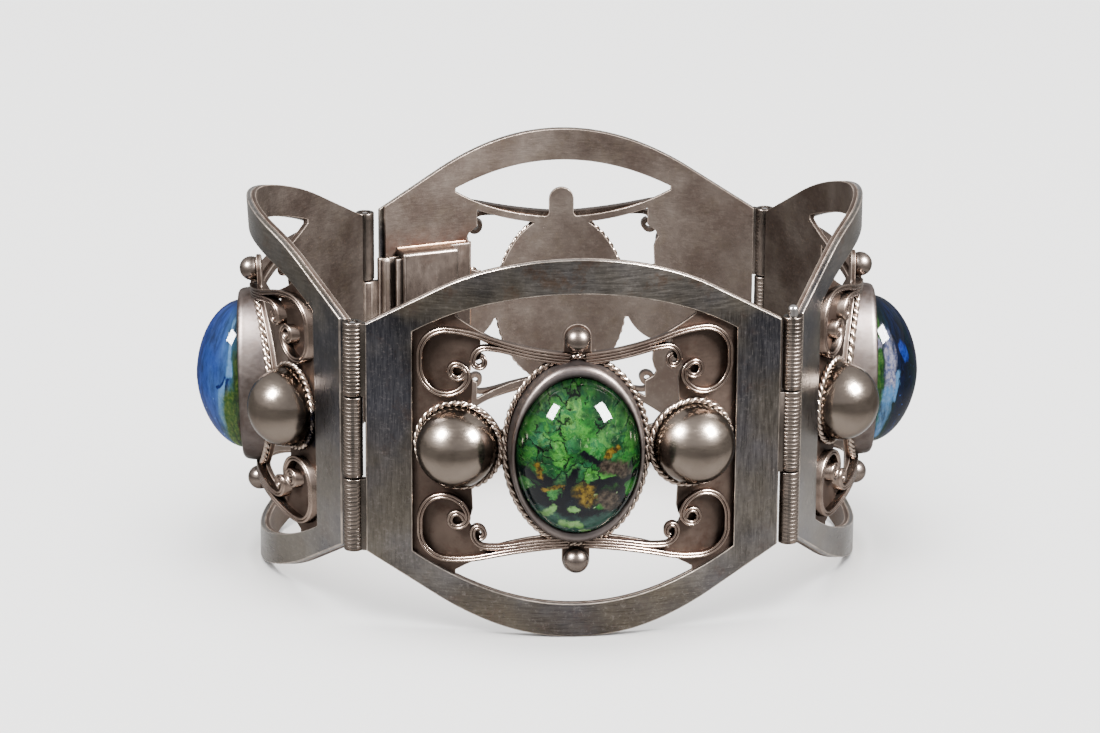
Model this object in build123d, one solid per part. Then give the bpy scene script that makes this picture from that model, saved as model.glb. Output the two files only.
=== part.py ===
from build123d import *
import math
import os

# Link bracelet of four rigid silver panels, hinged at their ends into a closed loop.
# It stands on the lower arches of its panels. Units are millimetres, +Z is up.
# The origin is the middle of the wrist hollow, on the surface that the bracelet stands on.
# A panel is drawn as it is seen from outside: u runs to the right along the line between
# its hinge axes, v runs up from its middle height, and depth is measured outward from the
# middle of its metal.

# The loop
pitch = 41.4
skew_deg = 3.1
end_slope_deg = {"front": 17.7, "right": 25.0, "back": 20.9, "left": 30.7}
turn_deg = {"front": 0, "right": 90, "back": 180, "left": 270}
bend_half_width = 8.3

# Sheet
base_sheet = 0.45
frame_sheet = 0.5

# Outline of a panel
panel_height = 36.8
rim_radius = 26.0
rim_slope_deg = 30.0
window_width = 30.4
band_width = 3.3
window_radius = 28.6

# Pierced openings of the base sheet
bar_rise = 0.1
bar_width = 0.75
bar_radius = 20.0
pad_inner = 9.8
pad_step = 0.9
opening_low = 1.7
pad_bump_shares = (0.58, 0.66, 0.78)
sheet_lip = 0.35

# Oval setting and its glass stone
setting_width = 13.0
setting_height = 17.8
setting_depth = 2.0
setting_wall = 0.5
lip_closing = 0.35
lip_depth = 0.5
stone_clearance = 0.05
stone_rise = 4.5
stone_seat = 0.1

# Half-round domes
dome_spacing = 21.7
dome_radius = 3.8
dome_skirt = 1.0
dome_wall = 0.5

# Rope wire round the settings and domes, drawn plain
rope_wire = 0.6

# Small balls above and below the stone
ball_radius = 1.3
ball_rise = 1.95
ball_centre_depth = 0.5

# Scroll ribbons, on edge
ribbon_thickness = 0.42
ribbon_depth = 1.1
scroll_start_u = 1.1
scroll_rise = 0.25
scroll_heading_deg = 4.0
curl_wire_drop = 0.5

# Each row of a scroll is one arc: its radius and its turn in degrees, with a plus to the left.
# A radius of none is a straight run, and its second value is then a length.
large_scroll = (
    (35.5, 13.0),
    (11.3, -17.0),
    (2.6, -90.0),
    (None, 1.0),
    (2.9, -35.0),
    (2.2, -125.0),
    (1.15, -90.0),
    (0.68, -290.0),
)
small_scroll = (
    (36.0, 9.0),
    (9.0, -13.0),
    (1.3, -95.0),
    (0.55, -250.0),
)

# Hinges
knuckle_radius = 0.95
hinge_overrun = 0.065
middle_knuckle = 8.0
knuckle_gap = 0.15
sheet_relief = 0.2
pin_radius = 0.5
pin_clearance = 0.05
tall_pin_rise = 1.1

# Clasp at the back panel's end
clasp_end_gap = 2.45
box_mouth = 3.2
box_length = 6.2
box_height = 14.0
box_depth = 2.3
box_sheet = 0.5
flange_length = 2.1
tongue_sheet = 0.45
tongue_clearance = 0.12
tongue_lip = 0.8

# Values that follow from those above
half_pitch = pitch / 2
mid_height = panel_height / 2
metal = base_sheet + frame_sheet
inner_face = -metal / 2
outer_face = metal / 2
base_face = inner_face + base_sheet
rim_half = panel_height / 2
window_half = rim_half - band_width
sheet_end = half_pitch - knuckle_radius - sheet_relief
ear_end = half_pitch - (knuckle_radius + pin_radius + pin_clearance) / 2
bore_radius = pin_radius + pin_clearance
skew = math.radians(skew_deg)
rim_turn = math.radians(rim_slope_deg)
rim_tangent_u = rim_radius * math.sin(rim_turn)
rim_tangent_v = rim_half - rim_radius * (1 - math.cos(rim_turn))
corner_v = rim_tangent_v - (sheet_end - rim_tangent_u) * math.tan(rim_turn)
hinge_length = 2 * (corner_v + hinge_overrun)
bar_height = setting_height / 2 + bar_rise
ball_height = setting_height / 2 + ball_rise
sunk = base_sheet / 2
far = 3 * half_pitch

# Where each hinge axis stands
axis_front_left = (-half_pitch * math.cos(skew), -half_pitch * (1 + math.sin(skew)))
axis_front_right = (half_pitch * math.cos(skew), -half_pitch * (1 - math.sin(skew)))
axis_back_right = (half_pitch * math.cos(skew), half_pitch * (1 + math.sin(skew)))
axis_back_left = (-half_pitch * math.cos(skew), half_pitch * (1 - math.sin(skew)))


def bend_radius(name):
    return bend_half_width / math.sin(math.radians(end_slope_deg[name]))


def bow(name):
    """How far the middle of the metal stands outside the line between the hinge axes."""
    slope = math.radians(end_slope_deg[name])
    return bend_half_width * math.tan(slope / 2) + (half_pitch - bend_half_width) * math.tan(slope)


def plan_curve(name, depth):
    """A panel's plan at one depth: straight end, bend and straight end, left to right."""
    slope = math.radians(end_slope_deg[name])
    radius = bend_radius(name) + depth
    centre_y = -bow(name) + bend_radius(name)
    bend_u = radius * math.sin(slope)
    bend_y = centre_y - radius * math.cos(slope)
    run = half_pitch + knuckle_radius - bend_u
    end = (bend_u + run, bend_y + run * math.tan(slope))
    left = Line((-end[0], end[1]), (-bend_u, bend_y))
    middle = ThreePointArc((-bend_u, bend_y), (0, centre_y - radius), (bend_u, bend_y))
    right = Line((bend_u, bend_y), end)
    return [left, middle, right], end


def layer(name, low, high):
    """The bent slab of a panel's metal between two depths, over more than its height."""
    inner, inner_end = plan_curve(name, low)
    outer, outer_end = plan_curve(name, high)
    ends = [Line(outer_end, inner_end), Line((-outer_end[0], outer_end[1]), (-inner_end[0], inner_end[1]))]
    face = make_face(Wire(inner + outer + ends))
    return Pos(0, 0, -far) * extrude(face, amount=2 * far, dir=(0, 0, 1))


def through(sketch):
    """A flat drawing in u and v, run right through the panel's thickness."""
    upright = Plane((0, 0, 0), x_dir=(1, 0, 0), z_dir=(0, -1, 0))
    return extrude(upright * sketch, amount=far, both=True)


def four_ways(sketch):
    """A drawing made for the upper right quarter, in all four quarters."""
    upper = sketch + mirror(sketch, about=Plane.YZ)
    return upper + mirror(upper, about=Plane.XZ)


def outline(left_end, right_end):
    """The panel's outline, with arched rims and straight shoulders."""
    corner_left = corner_v + (sheet_end - left_end) * math.tan(rim_turn)
    corner_right = corner_v + (sheet_end - right_end) * math.tan(rim_turn)
    edges = [
        Line((-left_end, corner_left), (-rim_tangent_u, rim_tangent_v)),
        ThreePointArc((-rim_tangent_u, rim_tangent_v), (0, rim_half), (rim_tangent_u, rim_tangent_v)),
        Line((rim_tangent_u, rim_tangent_v), (right_end, corner_right)),
        Line((right_end, corner_right), (right_end, -corner_right)),
        Line((right_end, -corner_right), (rim_tangent_u, -rim_tangent_v)),
        ThreePointArc((rim_tangent_u, -rim_tangent_v), (0, -rim_half), (-rim_tangent_u, -rim_tangent_v)),
        Line((-rim_tangent_u, -rim_tangent_v), (-left_end, -corner_left)),
        Line((-left_end, -corner_left), (-left_end, corner_left)),
    ]
    return make_face(Wire(edges))


def window():
    """The opening of the frame sheet: straight sides, arched top and bottom."""
    upper = Pos(0, window_half - window_radius) * Circle(window_radius)
    lower = Pos(0, window_radius - window_half) * Circle(window_radius)
    return Rectangle(window_width, panel_height) & upper & lower


def lens():
    """The upper opening of the base sheet, with the tab that carries the ball."""
    above = Pos(0, window_half - window_radius) * Circle(window_radius)
    below = Pos(0, bar_height + bar_radius) * Circle(bar_radius)
    tab_top = ball_height - sheet_lip
    tab = Pos(0, tab_top) * Circle(ball_radius) + Pos(0, tab_top / 2) * Rectangle(2 * ball_radius, tab_top)
    return (above & below) - tab


def quarter_opening():
    """The opening between the stone, a dome and a corner pad, in the upper right quarter."""
    top = bar_height + bar_radius
    bump = [corner_v * share for share in pad_bump_shares]
    stepped = make_face(
        Polyline(
            (0, opening_low),
            (pad_inner, opening_low),
            (pad_inner - pad_step / 4, bump[0]),
            (pad_inner + pad_step / 4, bump[1]),
            (pad_inner - pad_step, bump[2]),
            (pad_inner - pad_step, corner_v),
            (0, corner_v),
            close=True,
        )
    )
    stone_pad = Ellipse(setting_width / 2 + sheet_lip, setting_height / 2 + sheet_lip)
    dome_pad = Pos(dome_spacing / 2, 0) * Circle(dome_radius + sheet_lip)
    bar = Pos(0, top) * Circle(bar_radius + bar_width)
    return stepped - stone_pad - dome_pad - bar


def knuckle_bands(ends):
    """Height ranges, from the panel's middle, of the knuckles at an end with one or two."""
    inside = middle_knuckle / 2
    if ends == "middle":
        return [(knuckle_gap / 2 - inside, inside - knuckle_gap / 2)]
    if ends == "outer":
        low = inside + knuckle_gap / 2
        return [(low, hinge_length / 2), (-hinge_length / 2, -low)]
    return []


def band_piece(low, high, start, end):
    return Pos((start + end) / 2, (low + high) / 2) * Rectangle(abs(end - start), high - low)


def base_drawing(left, right, right_end):
    """The base sheet and its ears, which reach into the panel's own knuckles."""
    sheet = outline(sheet_end, right_end)
    for low, high in knuckle_bands(left):
        sheet += band_piece(max(low, -corner_v), min(high, corner_v), -ear_end, -sheet_end + sheet_relief)
    for low, high in knuckle_bands(right):
        sheet += band_piece(low, high, sheet_end - sheet_relief, ear_end)
    return sheet


def ribbon_piece(start, heading, radius, turn):
    """One arc or straight run of ribbon, with its end point and heading."""
    half = ribbon_thickness / 2
    side = (-math.sin(heading), math.cos(heading))

    def beside(point, normal, distance):
        return (point[0] + normal[0] * distance, point[1] + normal[1] * distance)

    if radius is None:
        end = (start[0] + turn * math.cos(heading), start[1] + turn * math.sin(heading))
        corners = [beside(start, side, half), beside(end, side, half)]
        corners += [beside(end, side, -half), beside(start, side, -half)]
        return make_face(Polyline(*corners, close=True)), end, heading
    way = math.copysign(1, turn)
    centre = beside(start, side, way * radius)
    after = heading + math.radians(turn)

    def on_arc(distance, share):
        angle = heading + share * math.radians(turn) - way * math.pi / 2
        return (centre[0] + distance * math.cos(angle), centre[1] + distance * math.sin(angle))

    low, high = radius - half, radius + half
    if abs(turn) > 180:
        parts = [ribbon_piece(start, heading, radius, turn / 2)]
        parts.append(ribbon_piece(parts[0][1], parts[0][2], radius, turn / 2))
        return parts[0][0] + parts[1][0], parts[1][1], parts[1][2]
    edges = [
        ThreePointArc(on_arc(high, 0), on_arc(high, 0.5), on_arc(high, 1)),
        Line(on_arc(high, 1), on_arc(low, 1)),
        ThreePointArc(on_arc(low, 1), on_arc(low, 0.5), on_arc(low, 0)),
        Line(on_arc(low, 0), on_arc(high, 0)),
    ]
    return make_face(Wire(edges)), on_arc(radius, 1), after


def scroll(start, heading_deg, rows):
    """A ribbon that follows a row of arcs from a starting point and heading."""
    point, heading = start, math.radians(heading_deg)
    drawing = None
    for radius, turn in rows:
        piece, point, heading = ribbon_piece(point, heading, radius, turn)
        drawing = piece if drawing is None else drawing + piece
    return drawing


def scroll_quarter():
    large_start = (scroll_start_u, bar_height + scroll_rise)
    small_start = (scroll_start_u, bar_height + scroll_rise - curl_wire_drop)
    large = scroll(large_start, scroll_heading_deg, large_scroll)
    return large + scroll(small_start, scroll_heading_deg, small_scroll)


def setting_ring():
    """The plain ring that stands for the rope wire soldered to the foot of the setting."""
    outer = Ellipse(setting_width / 2 + rope_wire, setting_height / 2 + rope_wire)
    return outer - Ellipse((setting_width - setting_wall) / 2, (setting_height - setting_wall) / 2)


def setting(name):
    """Oval wall round the stone, from the base sheet to a lip that closes over it."""
    lip = bow(name) + base_face + setting_depth
    half_width = setting_width / 2 - setting_wall
    half_height = setting_height / 2 - setting_wall
    upright = Plane((0, -lip, 0), x_dir=(1, 0, 0), z_dir=(0, 1, 0))
    body = extrude(upright * Ellipse(setting_width / 2, setting_height / 2), amount=lip)
    mouth = extrude(upright * Ellipse(half_width - lip_closing, half_height - lip_closing), amount=lip_depth)
    cup = extrude(upright.offset(lip_depth) * Ellipse(half_width, half_height), amount=lip)
    return body - mouth - cup


def stone(name):
    """Oval glass cabochon: straight girdle in the setting and a high dome."""
    seat = bow(name) + base_face + stone_seat
    half_width = setting_width / 2 - setting_wall - stone_clearance
    half_height = setting_height / 2 - setting_wall - stone_clearance
    girdle = setting_depth - stone_seat - lip_depth - stone_clearance
    upright = Plane((0, -seat, 0), x_dir=(1, 0, 0), z_dir=(0, -1, 0))
    body = extrude(upright * Ellipse(half_width, half_height), amount=girdle)
    neck_width = half_width - lip_closing
    neck_height = half_height - lip_closing
    crown = scale(Sphere(1), by=(neck_width, stone_rise + lip_depth, neck_height))
    crown = crown & (Pos(0, -far / 2, 0) * Box(far, far, far))
    return body + Pos(0, -seat - girdle, 0) * crown


def domes(name):
    """Two hollow half-round domes with rings at their feet, standing square to the metal."""
    inside = dome_radius - dome_wall
    ring_top = rope_wire - dome_skirt
    ring_edge = dome_radius + rope_wire
    foot = -dome_skirt - base_sheet
    slant = math.sqrt(0.5)
    edges = [
        Line((inside, foot), (ring_edge, foot)),
        Line((ring_edge, foot), (ring_edge, ring_top)),
        Line((ring_edge, ring_top), (dome_radius, ring_top)),
        Line((dome_radius, ring_top), (dome_radius, 0)),
        ThreePointArc((dome_radius, 0), (dome_radius * slant, dome_radius * slant), (0, dome_radius)),
        Line((0, dome_radius), (0, inside)),
        ThreePointArc((0, inside), (inside * slant, inside * slant), (inside, 0)),
        Line((inside, 0), (inside, foot)),
    ]
    shell = Pos(0, -base_face - dome_skirt, 0) * Rot(180, 0, 0) * revolve(make_face(Wire(edges)), axis=Axis.Y)
    depth = plan_depth(name, dome_spacing / 2)
    slope = end_slope_deg[name]
    return [Pos(s * dome_spacing / 2, -depth, 0) * Rot(0, 0, s * slope) * shell for s in (-1, 1)]


def plan_depth(name, u):
    """How far the middle of the metal stands outside the hinge line at a place along the panel."""
    slope = math.radians(end_slope_deg[name])
    if u > bend_half_width:
        return (half_pitch - u) * math.tan(slope)
    radius = bend_radius(name)
    return bow(name) - radius + math.sqrt(radius * radius - u * u)


def balls(name):
    depth = bow(name) + base_face + ball_centre_depth
    return [Pos(0, -depth, s * ball_height) * Sphere(ball_radius) for s in (-1, 1)]


def knuckles(side, ends):
    """Knuckle tubes at one end of a panel, before they are bored."""
    tubes = []
    for low, high in knuckle_bands(ends):
        tubes.append(Pos(side * half_pitch, 0, (low + high) / 2) * Cylinder(knuckle_radius, high - low))
    return tubes


def end_frame():
    """The back panel's clasp end: x runs from the hinge axis into the panel, y inward."""
    slope = end_slope_deg["back"]
    return Pos(half_pitch, 0, 0) * Rot(0, 0, slope) * Rot(0, 180, 0)


def block(start, end, low, high, half_height):
    """A block in the clasp's frame, between two depths inside the middle of the metal."""
    size = Box(end - start, high - low, 2 * half_height)
    return end_frame() * Pos((start + end) / 2, (low + high) / 2, 0) * size


def clasp_box():
    """Folded box on the inner face of the back panel's end, open towards the hinge."""
    low = metal / 2
    high = low + box_depth
    end = box_mouth + box_length
    outside = block(box_mouth, end, low - sunk, high, box_height / 2)
    hollow = block(box_mouth - 1, end - box_sheet, low, high - box_sheet, box_height / 2 - box_sheet)
    flange = block(end - box_sheet, end + flange_length, low - sunk, low + box_sheet, box_height / 2)
    return outside - hollow + flange


def clasp_tongue():
    """Folded tongue in the box, with the middle knuckle of the clasp's hinge."""
    near = metal / 2 + tongue_clearance
    deep = metal / 2 + box_depth - box_sheet - tongue_clearance
    fold = box_mouth + box_length - box_sheet - tongue_clearance
    half_height = box_height / 2 - box_sheet - tongue_clearance
    low, high = knuckle_bands("middle")[0]
    knuckle = Pos(half_pitch, 0, 0) * Cylinder(knuckle_radius, high - low)
    clear_start = knuckle_radius + 2 * sheet_relief
    neck_start = knuckle_radius - tongue_sheet / 2
    neck = block(neck_start, clear_start + tongue_sheet, 0, near + tongue_sheet, high)
    front_leaf = block(clear_start, fold, near, near + tongue_sheet, half_height)
    fold_block = block(fold - tongue_sheet, fold, near, deep, half_height)
    back_leaf = block(box_mouth - tongue_lip, fold, deep - tongue_sheet, deep, half_height)
    bore = Pos(half_pitch, 0, 0) * Cylinder(bore_radius, hinge_length)
    return knuckle + neck + front_leaf + fold_block + back_leaf - bore


def panel(name):
    """One panel's soldered metal, in its own frame with v from its middle height."""
    left, right = "outer", "middle"
    right_end = sheet_end
    if name == "back":
        right = "none"
        right_end = half_pitch - clasp_end_gap * math.cos(math.radians(end_slope_deg["back"]))
    sheet = base_drawing(left, right, right_end)
    holes = four_ways(quarter_opening()) + lens() + mirror(lens(), about=Plane.XZ)
    outside = layer(name, base_face - sunk, far / 2)
    pieces = [
        layer(name, base_face, outer_face) & through(sheet - window()),
        layer(name, base_face - sunk, base_face + ribbon_depth) & through(four_ways(scroll_quarter())),
        layer(name, base_face - sunk, base_face + rope_wire) & through(setting_ring()),
    ]
    pieces += [piece & outside for piece in [setting(name)] + domes(name) + balls(name)]
    pieces += knuckles(-1, left) + knuckles(1, right)
    if name == "back":
        pieces.append(clasp_box())
    body = (layer(name, inner_face, base_face) & through(sheet - holes)) + pieces
    bores = [Pos(s * half_pitch, 0, 0) * Cylinder(bore_radius, panel_height) for s in (-1, 1)]
    return body - bores


def place(name):
    """Where a panel's frame goes in the loop."""
    lean = skew_deg if name in ("front", "back") else 0
    centres = {
        "front": (0, -half_pitch),
        "right": (half_pitch * math.cos(skew), half_pitch * math.sin(skew)),
        "back": (0, half_pitch),
        "left": (-half_pitch * math.cos(skew), -half_pitch * math.sin(skew)),
    }
    x, y = centres[name]
    return Pos(x, y, mid_height) * Rot(0, 0, turn_deg[name] + lean)


def pin(axis, rise):
    """Hinge pin with a rounded top that may stand out of its knuckles."""
    length = hinge_length + rise - pin_radius
    body = Cylinder(pin_radius, length, align=(Align.CENTER, Align.CENTER, Align.MIN))
    top = Pos(0, 0, length) * Sphere(pin_radius)
    return Pos(axis[0], axis[1], mid_height - hinge_length / 2) * (body + top)


def build():
    nodes = {}
    for name in turn_deg:
        nodes[name + "_panel"] = place(name) * panel(name)
        nodes[name + "_stone"] = place(name) * stone(name)
    nodes["clasp_tongue"] = place("back") * clasp_tongue()
    nodes["front_left_pin"] = pin(axis_front_left, 0)
    nodes["front_right_pin"] = pin(axis_front_right, tall_pin_rise)
    nodes["back_right_pin"] = pin(axis_back_right, 0)
    nodes["clasp_pin"] = pin(axis_back_left, 0)
    return nodes


if __name__ == "__main__":
    os.makedirs("parts", exist_ok=True)
    for node, shape in build().items():
        export_step(shape, "parts/" + node + ".step")
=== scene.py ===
import math

import bpy
from mathutils import Matrix, Vector


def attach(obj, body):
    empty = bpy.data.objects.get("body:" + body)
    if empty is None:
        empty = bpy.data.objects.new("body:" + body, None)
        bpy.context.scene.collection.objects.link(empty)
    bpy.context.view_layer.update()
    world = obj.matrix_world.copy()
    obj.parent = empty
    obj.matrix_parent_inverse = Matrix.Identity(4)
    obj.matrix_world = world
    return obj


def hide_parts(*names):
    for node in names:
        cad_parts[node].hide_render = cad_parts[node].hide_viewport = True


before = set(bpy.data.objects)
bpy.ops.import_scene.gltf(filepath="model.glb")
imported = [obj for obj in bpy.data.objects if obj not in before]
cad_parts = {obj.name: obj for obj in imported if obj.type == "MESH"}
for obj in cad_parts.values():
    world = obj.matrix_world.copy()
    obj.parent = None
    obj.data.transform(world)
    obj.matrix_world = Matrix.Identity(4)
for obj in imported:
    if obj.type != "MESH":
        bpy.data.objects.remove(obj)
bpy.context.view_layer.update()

# Sizes in millimetres, as in the part's source. A piece is drawn on a flat bench: x is u, to the
# right along the panel, z is v, up from its middle height, and y runs inward, so -y is depth.
mm = 0.001
pitch = 41.4
half_pitch = pitch / 2
skew = math.radians(3.1)
panel_height = 36.8
mid_height = panel_height / 2
end_slope = {"front": 17.7, "right": 25.0, "back": 20.9, "left": 30.7}
turn = {"front": 0, "right": 90, "back": 180, "left": 270}
bend_half_width = 8.3
left_lean = 0.025
left_curl = 0.001

base_sheet = 0.45
frame_sheet = 0.5
inner_face = -(base_sheet + frame_sheet) / 2
outer_face = (base_sheet + frame_sheet) / 2
base_face = inner_face + base_sheet
frame_edge = 0.11
base_edge = 0.07
saw_corner = 0.32

# A cutting tool reaches this far past the metal.
past = 1

knuckle_radius = 0.95
sheet_end = half_pitch - knuckle_radius - 0.2
rim_radius = 26.0
rim_turn_deg = 30
rim_turn = math.radians(rim_turn_deg)
rim_tangent_u = rim_radius * math.sin(rim_turn)
rim_tangent_v = mid_height - rim_radius * (1 - math.cos(rim_turn))
corner_v = rim_tangent_v - (sheet_end - rim_tangent_u) * math.tan(rim_turn)
window_half_width = 15.2
window_half = mid_height - 3.3
window_radius = 28.6

bar_height = 9.0
bar_width = 0.75
bar_radius = 20.0
lens_half = 11.2
pad_rim = 0.35
setting_half = (6.5, 8.9)
setting_depth = 2.0
wall_lean = 0.25
lip_width = (0.5, 1.2)
lip_depth = 0.6
under_lip = 0.15
crown_rise = 5.05
stone_half = tuple(half - wall_lean - lip + under_lip for half, lip in zip(setting_half, lip_width))
stone_girdle = base_face + setting_depth - lip_depth
stone_top = stone_girdle + crown_rise
scroll_height = 0.8
scroll_heading = 4.0
scroll_step = 0.12
rope_strand = 0.175
rope_spread = 0.145
rope_lay = 1.55
dome_u = 10.85
dome_radius = 3.8
dome_skirt = 1.0
ball_radius = 1.2
ball_v = 10.75
ball_depth = 0.5
tab_half_width = 1.3
tab_foot_half = 3.2
tab_fillet = 0.45
hinge_length = 22.4
middle_knuckle = 8.0
knuckle_gap = 0.15
filed_ring = 0.38
pin_radius = 0.5
pin_clearance = 0.05
tall_pin_rise = 1.1
clasp_gap = {"frame": 1.85, "base": 2.3}
box_mouth = 3.2
box_end = 9.4
box_half_height = 7.0
box_depth = 2.3
box_wall = 0.5
box_sink = 0.2
flange_lap = 0.4
flange_reach = 2.1
tongue_gap = 0.12
tongue_start = 1.05


# Finding places on the bracelet
def plan_depth(side, u):
    """How far the middle of the metal stands outside the hinge line."""
    slope = math.radians(end_slope[side])
    across = abs(u)
    if across > bend_half_width:
        return (half_pitch - across) * math.tan(slope)
    radius = bend_half_width / math.sin(slope)
    top = bend_half_width * math.tan(slope / 2) + (half_pitch - bend_half_width) * math.tan(slope)
    return top - radius + math.sqrt(radius * radius - across * across)


def plan_stretch(side, u):
    """How much longer a depth is when it is measured square to the hinge line."""
    slope = math.radians(end_slope[side])
    radius = bend_half_width / math.sin(slope)
    return 1 / math.cos(math.asin(min(abs(u), bend_half_width) / radius))


def splay(side, u, v):
    """The left panel was bent a little out at its top: how much further out a place stands."""
    if side != "left":
        return 0
    return (left_lean * v + left_curl * v * v) * (1 - (u / half_pitch) ** 2)


# Ways for a piece to sit on its panel. Each takes a place on the bench to one in the panel's frame.
def bent(side, u, y, v):
    """Follows the bend of the sheet."""
    return Vector((u, -plan_depth(side, u) + y * plan_stretch(side, u) - splay(side, u, v), v))


def upright(side, u, y, v):
    """Stands straight out from the middle of the panel."""
    return Vector((u, -plan_depth(side, 0) + y - splay(side, 0, v), v))


def footed(side, u, y, v):
    """Upright as a whole, with a foot that follows the bent sheet."""
    return bent(side, u, y, v) if y > -base_face else upright(side, u, y, v)


def at_hinge(side, u, y, v):
    """Stays on the line between the hinges."""
    return Vector((u, y, v))


def on_dome_foot(side, u, y, v):
    """Square to the bent sheet at the foot of the nearer dome."""
    foot = math.copysign(dome_u, u)
    tilt = math.copysign(math.radians(end_slope[side]), u)
    out = Matrix.Rotation(tilt, 3, "Z") @ Vector((u - foot, y, 0))
    return Vector((foot + out.x, out.y - plan_depth(side, foot) - splay(side, foot, v), v))


def at_clasp(side, x, y, v):
    """From the clasp's own place: x runs from the hinge axis into the back panel, y inward."""
    tilt = math.radians(end_slope["back"])
    u = half_pitch - x * math.cos(tilt) - y * math.sin(tilt)
    return Vector((u, y * math.cos(tilt) - x * math.sin(tilt), v))


def panel_centre(side):
    if side in ("front", "back"):
        return Vector((0, -half_pitch if side == "front" else half_pitch, mid_height))
    way = 1 if side == "right" else -1
    return Vector((way * half_pitch * math.cos(skew), way * half_pitch * math.sin(skew), mid_height))


def panel_matrix(side):
    lean = skew if side in ("front", "back") else 0
    return Matrix.Translation(panel_centre(side)) @ Matrix.Rotation(math.radians(turn[side]) + lean, 4, "Z")


# Bench work
def clear_selection():
    if bpy.context.object and bpy.context.object.mode == "EDIT":
        bpy.ops.object.mode_set(mode="OBJECT")
    bpy.ops.object.select_all(action="DESELECT")


def pick(piece):
    clear_selection()
    piece.select_set(True)
    bpy.context.view_layer.objects.active = piece


def named(name):
    piece = bpy.context.object
    piece.name = name
    piece.data.name = name
    return piece


def edit_all(piece):
    pick(piece)
    bpy.ops.object.mode_set(mode="EDIT")
    bpy.ops.mesh.select_all(action="SELECT")


def done():
    bpy.ops.object.mode_set(mode="OBJECT")


def tidy_mesh(piece):
    """Closes the seams and turns every face outward."""
    edit_all(piece)
    bpy.ops.mesh.remove_doubles(threshold=0.002)
    bpy.ops.mesh.normals_make_consistent(inside=False)
    done()


def finish_modifier(piece, kind, **settings):
    pick(piece)
    modifier = piece.modifiers.new(kind.lower(), kind)
    for key, value in settings.items():
        setattr(modifier, key, value)
    bpy.ops.object.modifier_apply(modifier=modifier.name)


def cut(piece, tool, way="DIFFERENCE"):
    finish_modifier(piece, "BOOLEAN", operation=way, object=tool, solver="EXACT")
    bpy.data.objects.remove(tool)


def soften(piece, width, segments=2):
    """Rounds the piece's sharp edges a little, as filing and wear do."""
    finish_modifier(piece, "BEVEL", width=width, segments=segments, limit_method="ANGLE",
                    angle_limit=math.radians(35), use_clamp_overlap=False, harden_normals=False)


def joined(name, pieces):
    pick(pieces[0])
    for piece in pieces[1:]:
        piece.select_set(True)
    if len(pieces) > 1:
        bpy.ops.object.join()
    return named(name)


def copied(piece, name):
    pick(piece)
    bpy.ops.object.duplicate(linked=False)
    return named(name)


def moved(piece, by=(0, 0, 0), flip=(1, 1, 1)):
    """Moves and mirrors the mesh itself, so the object stays at the origin."""
    piece.data.transform(Matrix.Translation(by) @ Matrix.Diagonal((*flip, 1)))
    if flip[0] * flip[1] * flip[2] < 0:
        piece.data.flip_normals()
    return piece


# Shapes to start from
def arc(radius, centre, start_deg, end_deg, steps):
    points = []
    for step in range(steps + 1):
        angle = math.radians(start_deg + (end_deg - start_deg) * step / steps)
        points.append((centre[0] + radius * math.cos(angle), centre[1] + radius * math.sin(angle)))
    return points


def oval(half_width, half_height, centre, steps):
    points = []
    for step in range(steps):
        angle = math.tau * step / steps
        points.append((centre[0] + half_width * math.cos(angle), centre[1] + half_height * math.sin(angle)))
    return points


def plate(name, points, low, high):
    """A ring of points pulled onto an outline, filled and extruded between two depths."""
    clear_selection()
    bpy.ops.mesh.primitive_circle_add(vertices=len(points), radius=1, fill_type="NGON")
    piece = named(name)
    for corner, (u, v) in zip(piece.data.vertices, points):
        corner.co = (u, -low, v)
    edit_all(piece)
    bpy.ops.mesh.extrude_region_move(TRANSFORM_OT_translate={"value": (0, low - high, 0)})
    done()
    tidy_mesh(piece)
    return piece


def folded(name, points, half_height):
    """A section drawn in x and y, pulled up and down to a half height."""
    piece = plate(name, points, -half_height, half_height)
    piece.data.transform(Matrix.Rotation(math.radians(-90), 4, "X"))
    return piece


def strip(name, start, end, low, high, half_height):
    """A folded block with a plain oblong section, between two places along and two in depth."""
    return folded(name, [(start, low), (end, low), (end, high), (start, high)], half_height)


def raised(name, rows, steps, axis_depth=True, fill_end=True):
    """A ring extruded row by row. A row is half width, half height and how far along the axis."""
    clear_selection()
    turned = (math.radians(90), 0, 0) if axis_depth else (0, 0, 0)
    bpy.ops.mesh.primitive_circle_add(vertices=steps, radius=1, rotation=turned)
    piece = named(name)
    bpy.ops.object.transform_apply(location=True, rotation=True, scale=True)
    along = Vector((0, -1, 0)) if axis_depth else Vector((0, 0, 1))

    def grow(wide, tall):
        return (wide, 1, tall) if axis_depth else (wide, tall, 1)

    edit_all(piece)
    wide, tall, far = rows[0]
    bpy.ops.transform.resize(value=grow(wide, tall), center_override=(0, 0, 0))
    bpy.ops.transform.translate(value=along * far)
    for row in rows[1:]:
        bpy.ops.mesh.extrude_edges_move(TRANSFORM_OT_translate={"value": along * (row[2] - far)})
        bpy.ops.transform.resize(value=grow(row[0] / wide, row[1] / tall), center_override=(0, 0, 0))
        wide, tall, far = row
    if fill_end:
        bpy.ops.mesh.edge_face_add()
        bpy.ops.mesh.select_all(action="DESELECT")
        bpy.ops.mesh.select_non_manifold(extend=False)
        bpy.ops.mesh.edge_face_add()
    done()
    tidy_mesh(piece)
    return piece


def turned_up(name, rows, steps, **how):
    """A round piece, as from a lathe. A row is a radius and how far along the axis."""
    return raised(name, [(radius, radius, far) for radius, far in rows], steps, **how)


def round_end(radius, start, steps):
    """Rows of a half-round end, up to just short of its tip."""
    angles = [math.radians(90 * step / steps) for step in range(1, steps)]
    return [(radius * math.cos(angle), start + radius * math.sin(angle)) for angle in angles]


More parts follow.
